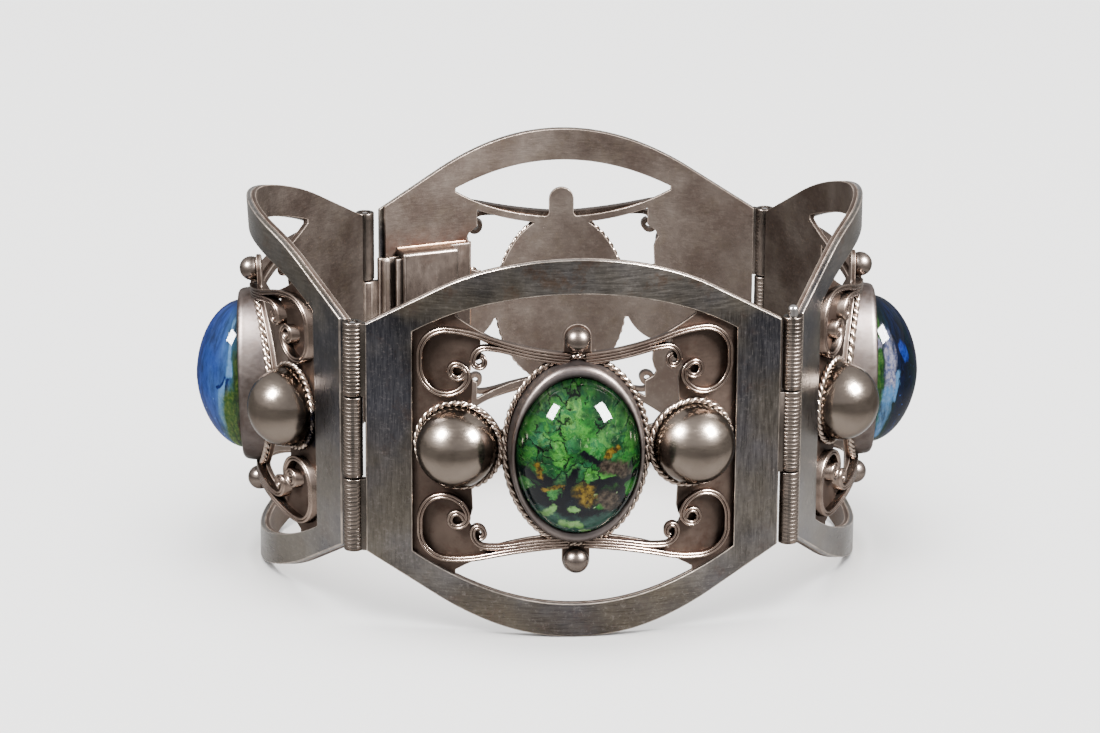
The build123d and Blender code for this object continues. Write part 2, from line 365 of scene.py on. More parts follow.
def lay_spline(curve, points, closed):
    spline = curve.splines.new("POLY")
    spline.points.add(len(points) - 1)
    for point, place in zip(spline.points, points):
        point.co = (*place, 1)
    spline.use_cyclic_u = closed


def run_along(name, path, profile=None, round_wire=0, closed=False):
    """A wire or ribbon run along each line of a path, as a curve with a section, made a mesh."""
    clear_selection()
    bpy.ops.curve.primitive_bezier_curve_add(enter_editmode=False)
    curve = named(name).data
    curve.dimensions = "3D"
    curve.twist_mode = "Z_UP"
    curve.splines.clear()
    for points in path:
        lay_spline(curve, points, closed)
    section = None
    if profile:
        section_curve = bpy.data.curves.new("section", "CURVE")
        section_curve.dimensions = "2D"
        lay_spline(section_curve, [(across, tall, 0) for across, tall in profile], True)
        section = bpy.data.objects.new("section", section_curve)
        bpy.context.collection.objects.link(section)
        curve.bevel_mode = "OBJECT"
        curve.bevel_object = section
    else:
        curve.bevel_depth = round_wire
        curve.bevel_resolution = 1
    curve.use_fill_caps = not closed
    bpy.ops.object.convert(target="MESH")
    piece = bpy.context.object
    if section:
        bpy.data.objects.remove(section)
    tidy_mesh(piece)
    return piece


def stood_up(piece):
    """Stands up what was drawn on the flat: the drawing's y becomes v, and its z becomes depth."""
    piece.data.transform(Matrix.Rotation(math.radians(90), 4, "X"))
    return piece


def slices(piece, places):
    """Cuts across the sheet at each place along u, so that it can be bent there."""
    edit_all(piece)
    bpy.ops.mesh.quads_convert_to_tris(quad_method="BEAUTY", ngon_method="BEAUTY")
    for u in places:
        bpy.ops.mesh.select_all(action="SELECT")
        bpy.ops.mesh.bisect(plane_co=(u, 0, 0), plane_no=(1, 0, 0), use_fill=False)
    done()


def mirrored_quarter(piece):
    """A quarter sheet made whole: its two cut sides are opened and it is mirrored over both."""
    on_middle = 0.001
    facing = 0.9
    edit_all(piece)
    bpy.ops.mesh.select_all(action="DESELECT")
    done()
    for face in piece.data.polygons:
        centre = face.center
        face.select = (abs(centre.x) < on_middle and abs(face.normal.x) > facing) or (
            abs(centre.z) < on_middle and abs(face.normal.z) > facing)
    bpy.ops.object.mode_set(mode="EDIT")
    bpy.ops.mesh.select_mode(type="FACE")
    bpy.ops.mesh.delete(type="ONLY_FACE")
    bpy.ops.mesh.select_mode(type="VERT")
    done()
    finish_modifier(piece, "MIRROR", use_axis=(True, False, True), merge_threshold=0.002)
    tidy_mesh(piece)
    edit_all(piece)
    bpy.ops.mesh.dissolve_limited(angle_limit=math.radians(0.5))
    done()


def round_corners(piece):
    """Rounds the sawn corners inside the window, as a saw blade leaves them."""
    window_reach = window_half_width + 1.2
    edit_all(piece)
    bpy.ops.mesh.select_all(action="DESELECT")
    bpy.ops.mesh.select_mode(type="EDGE")
    bpy.ops.mesh.edges_select_sharp(sharpness=math.radians(28))
    done()
    corners = piece.data.vertices
    for line in piece.data.edges:
        first, second = (corners[index].co for index in line.vertices)
        straight_through = math.hypot(first.x - second.x, first.z - second.z) < 0.001
        inside = abs(first.x) < window_reach and abs(first.z) < window_half
        line.select = line.select and straight_through and inside
    for part in (*corners, *piece.data.polygons):
        part.select = False
    bpy.ops.object.mode_set(mode="EDIT")
    bpy.ops.mesh.bevel(offset=saw_corner, segments=4, affect="EDGES", clamp_overlap=True)
    bpy.ops.mesh.select_mode(type="VERT")
    done()
    tidy_mesh(piece)


# The flat pieces of one panel
def quarter_outline():
    points = [(0, 0), (sheet_end, 0), (sheet_end, corner_v)]
    return points + arc(rim_radius, (0, mid_height - rim_radius), 90 - rim_turn_deg, 90, 30)


def window_arc(half_width, steps):
    """The window's upper edge from right to left, over a width."""
    points = []
    for step in range(steps + 1):
        u = half_width * (1 - 2 * step / steps)
        points.append((u, window_half - window_radius + math.sqrt(window_radius ** 2 - u ** 2)))
    return points


def frame_plate():
    """The upper layer: arched bands and straight bars round a window."""
    piece = plate("frame_plate", quarter_outline(), base_face, outer_face)
    opening = [(-window_half_width, -past), (window_half_width, -past)] + window_arc(window_half_width, 60)
    cut(piece, plate("opening", opening, base_face - past, outer_face + past))
    mirrored_quarter(piece)
    soften(piece, frame_edge, 3)
    return piece


def tab_outline():
    """The tab under a small ball, with a fillet at each side of its foot."""
    side_u = tab_half_width + tab_fillet
    fillet_v = bar_height + 0.04 + tab_fillet
    points = [(-tab_foot_half, 0), (tab_foot_half, 0)] + arc(tab_fillet, (side_u, fillet_v), 270, 180, 6)
    points += arc(tab_half_width, (0, ball_v + 0.1), 0, 180, 20)
    return points + arc(tab_fillet, (-side_u, fillet_v), 360, 270, 6)


# The opening beside the setting in one quarter, out to the stepped inner edge of the sheet
gap_outline = ((0, 1.7), (9.8, 1.7), (9.575, 6.2), (9.75, 6.9), (10.02, 7.35), (9.75, 7.9), (8.9, 8.5),
               (8.9, 11.5), (0, 11.5))


def base_plate():
    """The lower layer, sawn out between the bars, the pads and the setting."""
    low, high = inner_face - past, base_face + past
    bar_centre = (0, bar_height + bar_radius)

    def tool(points):
        return plate("tool", points, low - past, high + past)

    piece = plate("base_plate", quarter_outline(), inner_face, base_face)
    lens = plate("lens", [(-lens_half, 0), (lens_half, 0)] + window_arc(lens_half, 64), low, high)
    cut(lens, tool(oval(bar_radius, bar_radius, bar_centre, 160)), "INTERSECT")
    cut(lens, tool(tab_outline()))
    cut(piece, lens)
    opening = plate("opening", gap_outline, low, high)
    cut(opening, tool(oval(setting_half[0] + pad_rim, setting_half[1] + pad_rim, (0, 0), 96)))
    cut(opening, tool(oval(dome_radius + pad_rim, dome_radius + pad_rim, (dome_u, 0), 64)))
    cut(opening, tool(oval(bar_radius + bar_width, bar_radius + bar_width, bar_centre, 160)))
    cut(piece, opening)
    mirrored_quarter(piece)
    round_corners(piece)
    soften(piece, base_edge)
    return piece


# A scroll wire is where it starts, its width, and its arcs: radius and turn in degrees, or none and a length.
scrolls = (
    ((0.75, 9.23), 0.56, ((35.5, 13.0), (11.3, -17.0), (2.6, -90.0), (None, 1.0), (2.9, -35.0), (2.2, -125.0),
                          (1.15, -90.0), (0.68, -290.0))),
    ((0.75, 8.66), 0.54, ((36.0, 9.0), (9.0, -13.0), (1.3, -95.0), (0.55, -250.0))),
)


def wire_path(start, rows):
    """Points a little apart along a row of arcs, closer together on the tightest ones."""
    x, y = start
    heading = math.radians(scroll_heading)
    points = [(x, y, 0)]
    for radius, amount in rows:
        length = amount if radius is None else radius * math.radians(abs(amount))
        count = max(2, math.ceil(length / scroll_step))
        if radius and radius < 1:
            count *= 2
        bend = 0 if radius is None else math.radians(amount) / count
        run = length / count
        for _ in range(count):
            heading += bend / 2
            x += run * math.cos(heading)
            y += run * math.sin(heading)
            heading += bend / 2
            points.append((x, y, 0))
    return points


def double_wire_section(width, low, high):
    """Section of the scroll wire: an upright strip whose top edge is rolled into two beads."""
    half = width / 2
    bead = half / 2
    strip_half = half * 0.8
    points = [(-strip_half, low)]
    for way in (-1, 1):
        points += arc(bead, (way * bead, high - bead), 180, 0, 5)
    return points + [(strip_half, low)]


def scroll_wires():
    wires = []
    for start, width, rows in scrolls:
        section = double_wire_section(width, base_face - 0.1, base_face + scroll_height)
        wires.append(stood_up(run_along("wire", [wire_path(start, rows)], section)))
    quarter = joined("scroll_wires", wires)
    parts = [quarter]
    for flip in ((-1, 1, 1), (1, 1, -1), (-1, 1, -1)):
        parts.append(moved(copied(quarter, "scroll_wires"), flip=flip))
    return joined("scroll_wires", parts)


def rope(half_width, half_height, centre_u=0):
    """Two strands twisted together into a ring that lies at the foot of a wall."""
    depth = base_face + 0.3
    around = math.pi * (3 * (half_width + half_height)
                        - math.sqrt((3 * half_width + half_height) * (half_width + 3 * half_height)))
    turns = round(around / rope_lay)
    steps = turns * 10
    strands = []
    for phase in (0, math.pi):
        points = []
        for step in range(steps):
            angle = math.tau * step / steps
            twist = phase + math.tau * turns * step / steps
            cosine, sine = math.cos(angle), math.sin(angle)
            out = Vector((cosine * half_height, sine * half_width, 0)).normalized()
            place = Vector((centre_u + half_width * cosine, half_height * sine, depth))
            place += out * rope_spread * math.cos(twist)
            place.z += rope_spread * math.sin(twist)
            points.append(tuple(place))
        strands.append(points)
    return stood_up(run_along("rope", strands, round_wire=rope_strand, closed=True))


def bezel():
    """Oval wall of the setting, with its lip worked over the stone's edge."""
    wide, tall = (half - wall_lean for half in setting_half)
    top = base_face + setting_depth
    foot = base_face - 0.3
    rows = [(*setting_half, foot), (wide, tall, top - lip_depth)]
    lip = ((0.04, 0.4), (0.17, 0.16), (0.37, 0.03), (0.6, 0), (0.83, 0.05), (0.97, 0.2), (1, 0.5))
    for share, drop in lip:
        rows.append((wide - lip_width[0] * share, tall - lip_width[1] * share, top - drop))
    rows += [(wide - lip_width[0], tall - lip_width[1], foot), (*setting_half, foot + 0.001)]
    return raised("bezel", rows, 128, fill_end=False)


def cabochon():
    """Oval glass stone with a high round crown, from the girdle up."""
    wide, tall = stone_half
    shoulder = 0.1
    steps = 25
    rows = [(wide, tall, base_face + 0.1), (wide, tall, stone_girdle)]
    for step in range(1, steps):
        angle = math.radians(90 * step / steps)
        share = math.cos(angle)
        rows.append(((wide - shoulder) * share ** 0.92, (tall - shoulder) * share ** 1.1,
                     stone_girdle + (stone_top - stone_girdle) * math.sin(angle)))
    rows.append((0.02, 0.03, stone_top))
    return raised("cabochon", rows, 96)


def dome():
    """Half round on a short straight skirt."""
    spring = base_face + dome_skirt
    rows = [(dome_radius, base_face - 0.2), (dome_radius, spring)] + round_end(dome_radius, spring, 20)
    return turned_up("dome", rows + [(0.01, spring + dome_radius)], 72)


def small_ball():
    """A ball with a flat filed on it, where it is soldered to its tab."""
    clear_selection()
    bpy.ops.mesh.primitive_uv_sphere_add(segments=32, ring_count=20, radius=ball_radius)
    piece = named("ball")
    bpy.ops.object.transform_apply(location=True, rotation=True, scale=True)
    edit_all(piece)
    filed_at = (0, ball_depth + 0.15, 0)
    bpy.ops.mesh.bisect(plane_co=filed_at, plane_no=(0, 1, 0), use_fill=True, clear_outer=True)
    done()
    return moved(piece, (0, -(base_face + ball_depth), 0))


def knuckle(low, high, ringed=True):
    """A hinge tube with fine rings filed round its outer side, or a smooth one with rounded ends."""
    plain_end = 0.15
    length = high - low - 2 * plain_end
    count = max(3, round(length / filed_ring)) if ringed else 1
    ring = length / count
    bore = pin_radius + pin_clearance
    ends = ((bore, 0), (knuckle_radius - 0.1, 0), (knuckle_radius - 0.03, 0.04), (knuckle_radius, 0.12))
    shape = ((0.1, 0), (0.9, 0))
    if ringed:
        shape = ((0.0, 0.06), (0.14, 0.025), (0.32, 0.0), (0.68, 0.0), (0.86, 0.025))
    rows = [(radius, low + far) for radius, far in ends]
    for step in range(count):
        start = low + plain_end + step * ring
        rows += [(knuckle_radius - sink, start + share * ring) for share, sink in shape]
    rows += [(radius, high - far) for radius, far in reversed(ends)]
    piece = turned_up("knuckle", rows + [(bore, low + 0.001)], 40, axis_depth=False, fill_end=False)
    # The rings fade out towards the inner side, which the file doesn't reach.
    for corner in piece.data.vertices:
        radius = math.hypot(corner.co.x, corner.co.y)
        if low + 0.13 < corner.co.z < high - 0.13 and radius > bore + 0.1:
            inner = min(max((corner.co.y / knuckle_radius - 0.3) / 0.5, 0), 1)
            grow = 1 + (knuckle_radius / radius - 1) * inner
            corner.co.x *= grow
            corner.co.y *= grow
    return piece


def pin(rise):
    """A cut wire with a small chamfer below and a round tip above."""
    half = hinge_length / 2
    tip = half + rise - pin_radius
    rows = [(pin_radius - 0.08, -half), (pin_radius, -half + 0.08), (pin_radius, tip)]
    return turned_up("pin", rows + round_end(pin_radius, tip, 8), 24, axis_depth=False)


# Materials
def linear(colour):
    """A colour written as sRGB hex, in the linear values that the shader takes."""
    values = [int(colour[place:place + 2], 16) / 255 for place in (1, 3, 5)]
    return tuple(v / 12.92 if v <= 0.04045 else ((v + 0.055) / 1.055) ** 2.4 for v in values) + (1,)


def add(kind, settings=None, **links):
    """Adds a node, sets its own settings and its sockets, and links what feeds it. A link named n and a
    number goes to the socket at that place."""
    node = tree.nodes.new(kind)
    for key, value in (settings or {}).items():
        if isinstance(key, int) or not hasattr(node, key):
            node.inputs[key].default_value = value
        else:
            setattr(node, key, value)
    for key, source in links.items():
        by_place = key[0] == "n" and key[1:].isdigit()
        tree.links.new(source, node.inputs[int(key[1:]) if by_place else key.replace("_", " ")])
    return node


def material(name):
    """Starts a material. What is added next goes into its tree."""
    global tree
    made = bpy.data.materials.new(name)
    made.use_nodes = True
    tree = made.node_tree
    tree.nodes.clear()
    return made


def mixed(factor, first, second, way="MIX"):
    """Two colours mixed; each is a socket or a hex colour, and the factor a socket or a number."""
    node = add("ShaderNodeMix", {"data_type": "RGBA", "blend_type": way})
    for place, value in ((0, factor), (6, first), (7, second)):
        if isinstance(value, str):
            node.inputs[place].default_value = linear(value)
        elif isinstance(value, float):
            node.inputs[place].default_value = value
        else:
            tree.links.new(value, node.inputs[place])
    return node.outputs[2]


def spread(value, low, high, start=0.0, end=1.0):
    """Takes a value that runs from low to high to one that runs from start to end, and stops there."""
    settings = {"From Min": low, "From Max": high, "To Min": start, "To Max": end}
    return add("ShaderNodeMapRange", settings, Value=value).outputs[0]


def tinted(colour, rows):
    """Lays tints over a colour, one after another. A row is a tint, the value that it follows, where on
    that value it starts and where it is full, and how much it then covers."""
    for tint, value, start, full, most in rows:
        colour = mixed(spread(value, start, full, 0.0, most), colour, tint)
    return colour


def bench_noise(bench, size, detail=4.0, rough=0.6, stretch=(1, 1, 1), offset=0.0):
    """Noise in bench millimetres, with features of about a size."""
    place = add("ShaderNodeMapping", {"Scale": stretch, "Location": (offset,) * 3}, Vector=bench)
    settings = {"Scale": 1 / size, "Detail": detail, "Roughness": rough}
    return add("ShaderNodeTexNoise", settings, Vector=place.outputs[0]).outputs[0]


def bench_place():
    return add("ShaderNodeAttribute", {"attribute_name": "bench"}).outputs["Vector"]


def maths(way, first, second=None, clamp=False):
    """One sum on two sockets or numbers."""
    node = add("ShaderNodeMath", {"operation": way, "use_clamp": clamp})
    for place, value in ((0, first), (1, second)):
        if isinstance(value, (int, float)):
            node.inputs[place].default_value = value
        elif value is not None:
            tree.links.new(value, node.inputs[place])
    return node.outputs[0]


def vector_maths(way, settings, out=0, **links):
    """One sum on vectors."""
    return add("ShaderNodeVectorMath", {"operation": way, **settings}, **links).outputs[out]


def ramped(value, stops):
    """Colours along a value; each stop is a position and a hex colour."""
    ramp = add("ShaderNodeValToRGB", None, Fac=value)
    points = ramp.color_ramp.elements
    while len(points) < len(stops):
        points.new(0.5)
    for point, (position, colour) in zip(points, stops):
        point.position = position
        point.color = linear(colour)
    return ramp.outputs[0]


def near_stroke(place, start, end):
    """Distance in millimetres from a place to a short straight stroke."""
    along = Vector((end[0] - start[0], 0, end[1] - start[1]))
    away = vector_maths("SUBTRACT", {1: (start[0], 0, start[1])}, n0=place)
    share = vector_maths("DOT_PRODUCT", {1: tuple(along / along.length_squared)}, "Value", n0=away)
    foot = vector_maths("SCALE", {0: tuple(along)}, Scale=maths("ADD", share, 0.0, True))
    return vector_maths("DISTANCE", {}, "Value", n0=away, n1=foot)


def strokes(place, rows, soft=0.35):
    """A mask that is 1 on any of the strokes. A row is start, end and half width."""
    mask = None
    for start, end, half in rows:
        one = spread(near_stroke(place, start, end), half * (1 + soft), half * (1 - soft))
        mask = one if mask is None else maths("MAXIMUM", mask, one)
    return mask


def shown(made, shader):
    """Gives a material its surface."""
    add("ShaderNodeOutputMaterial", None, Surface=shader.outputs[0])
    return made


def uneven_gloss(grain, smooth, rough, clouds, dulled=0.05):
    """Roughness that follows the brushing and is a little duller in the cloudy patches."""
    return maths("ADD", spread(grain, 0.3, 0.7, smooth, rough), spread(clouds, 0.4, 0.7, -0.03, dulled))


def silver_shader(made, colour, rough, height, relief, graze):
    """The metal itself. The last value dims what shows at a glancing angle, as tarnish does."""
    bump = add("ShaderNodeBump", {"Strength": relief, "Distance": 0.00002}, Height=height)
    shader = add("ShaderNodeBsdfPrincipled", {"Metallic": 1.0, "Specular Tint": (graze, graze, graze, 1)},
                 Base_Color=colour, Roughness=rough, Normal=bump.outputs[0])
    return shown(made, shader)


def worn_edges(colour, worn, blotch):
    """Edges worn bare, less so where the metal is stained."""
    edge = add("ShaderNodeAttribute", {"attribute_name": "worn"}).outputs["Fac"]
    return mixed(maths("MULTIPLY", edge, spread(blotch, 0.38, 0.56, 0.9, 0.35)), colour, worn)


# Bench places of different panels stand this far apart, so that no two panels have the same pattern.
panel_shift = 60

# Strokes on the bench: start and end, each across and up, and half width. The left panel's middle is at
# 180 across, and the back panel's at 120.
dark_gap_strokes = (((195.05, 0.3), (194.8, -1.5), 0.4), ((194.8, -1.5), (193.95, -2.9), 0.4))
heat_strokes = (((126.0, 7.2), (138.0, 7.2), 1.1),)


def flattened(bench):
    return vector_maths("MULTIPLY", {1: (1, 0, 1)}, n0=bench)


def with_dark_gap_marks(flat, colour):
    """Black marks along the gap between the left panel's nearer dome and its rope, broken up by noise."""
    gap_breakup = bench_noise(flat, 0.45, 5.0, 0.75, offset=47.0)
    gap_line = strokes(flat, dark_gap_strokes, 0.3)
    return mixed(maths("MULTIPLY", gap_line, spread(gap_breakup, 0.4, 0.5, 0.5, 1.0)), colour, "#08080E")


def old_silver(name, hollow, face, worn, rough, brush=(0.2, 1, 4), stain="#2E1D16", stained=0.4, relief=0.15):
    """Darkened silver: cloudy patches and warm stains on the face, fine brushing, bare bright edges."""
    made = material(name)
    bench = bench_place()
    clouds = bench_noise(bench, 6.0, 5.0, 0.6)
    blotch = bench_noise(bench, 2.2, 6.0, 0.7, offset=31.0)
    grain = bench_noise(bench, 0.5, 4.0, 0.7, brush)
    colour = mixed(spread(clouds, 0.38, 0.62), hollow, face)
    colour = tinted(colour, ((stain, blotch, 0.55, 0.72, stained),))
    colour = with_dark_gap_marks(flattened(bench), worn_edges(colour, worn, blotch))
    gloss = uneven_gloss(grain, rough - 0.04, rough + 0.04, clouds)
    return silver_shader(made, colour, gloss, grain, relief, 0.5)


def brushed_silver(name):
    """Sheet brushed along each bar with emery, with fine streaks, a few bright scratches and brown stains on
    the top band. Its colour carries painted shade by height: darker and bluish in the upper half, paler and
    browner low down."""
    made = material(name)
    bench = bench_place()
    height = add("ShaderNodeSeparateXYZ", None, Vector=bench).outputs["Z"]
    clouds = bench_noise(bench, 7.0, 4.0, 0.55)
    blotch = bench_noise(bench, 2.4, 6.0, 0.7, offset=31.0)
    on_band = spread(maths("ABSOLUTE", height), 11.6, 13.0)
    streaks = []
    for size, offset in ((0.2, 0.0), (0.14, 17.0)):
        upright_lines = bench_noise(bench, size, 3.0, 0.6, (1.5, 1, 0.12), offset)
        level_lines = bench_noise(bench, size, 3.0, 0.6, (0.12, 1, 1.5), offset)
        node = add("ShaderNodeMix", {"data_type": "FLOAT"}, n0=on_band, n2=upright_lines, n3=level_lines)
        streaks.append(node.outputs[0])
    streak, scratch = streaks
    # Painted shade: the colour follows the height, darker in the upper half and paler low down, with a little
    # cloudy jitter.
    level = maths("ADD", spread(height, -mid_height, mid_height), spread(clouds, 0.3, 0.7, -0.14, 0.14))
    tint = bench_noise(bench, 8.0, 3.0, 0.5, offset=71.0)
    speckle = bench_noise(bench, 0.4, 5.0, 0.8, offset=53.0)
    colour = ramped(level, ((0.0, "#322D29"), (0.1, "#383430"), (0.24, "#4D4945"), (0.45, "#423F40"),
                            (0.6, "#323134"), (0.76, "#212125"), (0.88, "#433F3B"), (1.0, "#484440")))
    colour = tinted(colour, (("#463F33", tint, 0.47, 0.6, 0.5), ("#36373F", tint, 0.46, 0.34, 0.35)))
    dark_line, pale_line = mixed(0.1, colour, "#1A1A1C"), mixed(0.05, colour, "#B0AAA4")
    colour = mixed(spread(streak, 0.3, 0.7), dark_line, pale_line)
    colour = tinted(colour, (("#3E3029", blotch, 0.56, 0.72, 0.4), ("#8A8280", speckle, 0.54, 0.72, 0.22),
                             ("#25252C", speckle, 0.46, 0.3, 0.35)))
    rust = maths("MULTIPLY", spread(height, 12.0, 16.5), spread(blotch, 0.52, 0.66, 0.0, 0.55))
    colour = tinted(mixed(rust, colour, "#46362A"), (("#A8A29C", scratch, 0.68, 0.74, 0.45),))
    gloss = uneven_gloss(streak, 0.27, 0.37, clouds, 0.06)
    return silver_shader(made, worn_edges(colour, "#94897F", blotch), gloss, streak, 0.1, 0.8)


def base_silver(name):
    """Dull sheet: pinkish brown in the recesses outside, satin grey and olive inside, painted lighter there
    as painted light against the shade inside the loop, with a soft brown heat stain above the clasp box."""
    made = material(name)
    bench = bench_place()
    depth = add("ShaderNodeSeparateXYZ", None, Vector=bench).outputs["Y"]
    clouds = bench_noise(bench, 6.0, 5.0, 0.6)
    blotch = bench_noise(bench, 2.2, 6.0, 0.7, offset=31.0)
    grain = bench_noise(bench, 0.4, 4.0, 0.7, (0.4, 1, 2.5))
    fine = bench_noise(bench, 0.45, 5.0, 0.75, offset=47.0)
    recess = mixed(spread(clouds, 0.38, 0.62), "#342B26", "#423832")
    recess = tinted(recess, (("#2C1F1A", blotch, 0.5, 0.68, 0.7),))
    # Inner face: satin grey and olive, made lighter as painted light against the shade inside the loop, with
    # stains laid over it.
    inner_painted_light_and_stains = mixed(spread(clouds, 0.36, 0.64), "#3E3530", "#47403B")
    inner_painted_light_and_stains = tinted(inner_painted_light_and_stains, (("#40382E", blotch, 0.5, 0.7, 0.4), ("#59514B", fine, 0.5, 0.68, 0.3)))
    flat = flattened(bench)
    heat = maths("MULTIPLY", strokes(flat, heat_strokes, 0.95), spread(blotch, 0.3, 0.7))
    inner_painted_light_and_stains = mixed(heat, inner_painted_light_and_stains, "#3A251D")
    # The outer face takes the recess colour, and the inner face the lighter colour that carries painted
    # light.
    colour = mixed(spread(depth, 0.2, 0.35), recess, inner_painted_light_and_stains)
    colour = with_dark_gap_marks(flat, worn_edges(colour, "#8A7C72", blotch))
    gloss = uneven_gloss(grain, 0.42, 0.5, clouds)
    return silver_shader(made, colour, gloss, grain, 0.12, 0.5)


def glass_places(bench, around):
    """Where a point is in the stone's pattern, in millimetres: a flat place across and up, its height, and
    its share of the way along the ground. In a stone seen from its edge, across is round the crown."""
    parts = add("ShaderNodeSeparateXYZ", None, Vector=bench)
    across = parts.outputs["X"]
    height = parts.outputs["Z"]
    if around:
        crown = spread(parts.outputs["Y"], -stone_girdle, -stone_top)
        angle = maths("ARCTAN2", maths("DIVIDE", across, stone_half[0]), crown)
        across = maths("MULTIPLY", angle, 6.0)
        ground_place = spread(across, -9.4, 9.4)
    else:
        ground_place = spread(height, -8.4, 8.4)
    flat = add("ShaderNodeCombineXYZ", None, X=across, Z=height).outputs[0]
    return flat, height, ground_place


def foil_glass(name, around, ground, chips, glitter, chip_share, painted, edge_shade):
    """Cast glass over crushed foil: a coloured ground, chips of foil with dark gaps between them, strokes
    of other colours laid in by hand, painted shade that darkens the stone towards its edge, and a wet gloss."""
    made = material(name)
    bench = bench_place()
    flat, height, ground_place = glass_places(bench, around)
    stretch = {"Scale": (1, 1, 0.35 if around else 1)}
    drawn = add("ShaderNodeMapping", stretch, Vector=flat).outputs[0]
    wander = add("ShaderNodeTexNoise", {"Scale": 0.8, "Detail": 5.0, "Roughness": 0.65}, Vector=drawn)
    push = vector_maths("MULTIPLY_ADD", {1: (1.9, 0, 1.9), 2: (-0.95, 0, -0.95)}, n0=wander.outputs[1])
    ragged = vector_maths("ADD", {}, n0=flat, n1=push)
    ragged_drawn = add("ShaderNodeMapping", stretch, Vector=ragged).outputs[0]
    mottle = bench_noise(drawn, 0.9, 5.0, 0.7, offset=5.0)
    drift = bench_noise(drawn, 3.2, 4.0, 0.6, offset=9.0)
    deep = bench_noise(drawn, 2.6, 4.0, 0.6, offset=27.0)
    grit = bench_noise(ragged_drawn, 0.3, 4.0, 0.75, offset=13.0)
    colour = ramped(maths("ADD", ground_place, spread(drift, 0.3, 0.7, -0.07, 0.07)), ground)
    colour = mixed(spread(mottle, 0.35, 0.6, 0.6, 0.0), colour, "#04070A")

    # Chips lie edge to edge in the upper half. Lower down gaps open between them and some are missing.
    cell = {"Scale": 0.62, "Randomness": 1.0}
    cells = add("ShaderNodeTexVoronoi", cell, Vector=ragged_drawn)
    edges = add("ShaderNodeTexVoronoi", {**cell, "feature": "DISTANCE_TO_EDGE"}, Vector=ragged_drawn)
    edge = edges.outputs[0]
    shade, keep, _ = add("ShaderNodeSeparateColor", None, Color=cells.outputs["Color"]).outputs
    lower = spread(height, 1.0, -2.5)
    gap = maths("MULTIPLY", lower, spread(mottle, 0.35, 0.65, 0.04, 0.24))
    solid = maths("DIVIDE", maths("SUBTRACT", edge, gap), 0.07)
    solid = maths("ADD", solid, maths("SUBTRACT", 1.0, lower), True)
    lost = maths("MULTIPLY", maths("GREATER_THAN", keep, 0.45), lower)
    body = maths("MULTIPLY", solid, maths("SUBTRACT", 1.0, lost))

    # Their colours run into one another, with deep and glittering places and thin dark veins.
    run = spread(bench_noise(ragged, 1.9, 3.0, 0.55, offset=3.0), 0.32, 0.68)
    tone = maths("ADD", shade, spread(mottle, 0.3, 0.7, -0.12, 0.12))
    chip_colour = mixed(0.5, ramped(run, chips), ramped(tone, chips))
    chip_colour = tinted(chip_colour, (("#0E3A26", deep, 0.5, 0.34, 0.85),
                                       ("#06180C", mottle, 0.5, 0.34, 0.6), (glitter, grit, 0.6, 0.72, 0.6)))
    vein = maths("MULTIPLY", spread(edge, 0.06, 0.015), spread(drift, 0.49, 0.56))
    specks = maths("MULTIPLY", spread(edge, 0.22, 0.05), spread(grit, 0.43, 0.36))
    chip_colour = mixed(maths("MAXIMUM", vein, specks), chip_colour, "#050B08")
    colour = mixed(maths("MULTIPLY", body, chip_share), colour, chip_colour)

    # Small bright dots lower down, then the strokes, and painted shade that darkens the stone's edge under
    # the setting's lip.
    dot = add("ShaderNodeTexVoronoi", {"Scale": 1.5}, Vector=ragged)
    chosen = add("ShaderNodeSeparateColor", None, Color=dot.outputs["Color"]).outputs[0]
    dots = maths("MULTIPLY", spread(dot.outputs["Distance"], 0.16, 0.1),
                 maths("MULTIPLY", maths("GREATER_THAN", chosen, 0.66), lower))
    colour = mixed(dots, colour, glitter)
    fine = bench_noise(flat, 0.5, 5.0, 0.65, offset=21.0)
    for stroke_colour, glint, rows in painted:
        paint = mixed(spread(fine, 0.42, 0.64), stroke_colour, glint)
        colour = mixed(strokes(ragged, rows), colour, paint)
    to_oval = {"Scale": (1 / stone_half[0], 0, 1 / stone_half[1])}
    oval_place = add("ShaderNodeMapping", to_oval, Vector=bench).outputs[0]
    reach = vector_maths("LENGTH", {}, "Value", n0=oval_place)
    reach = maths("ADD", reach, spread(mottle, 0.3, 0.7, -0.05, 0.05))
    # Painted shade: the colour darkens towards the stone's edge, where the setting's lip overhangs it.
    edge_shade_start, edge_shade_colour = edge_shade
    colour = tinted(colour, ((edge_shade_colour, reach, edge_shade_start, 1.0, 0.92),))
    colour = mixed(1.0, colour, "#A2A2A2", "MULTIPLY")
    gloss = {"Metallic": 0.0, "Roughness": 0.5, "Specular IOR Level": 0.0, "Coat Weight": 0.14,
             "Coat Roughness": 0.05, "Coat IOR": 1.8}
    return shown(made, add("ShaderNodeBsdfPrincipled", gloss, Base_Color=colour))


frame_metal = brushed_silver("brushed_dark_silver")
base_metal = base_silver("dull_brown_silver")
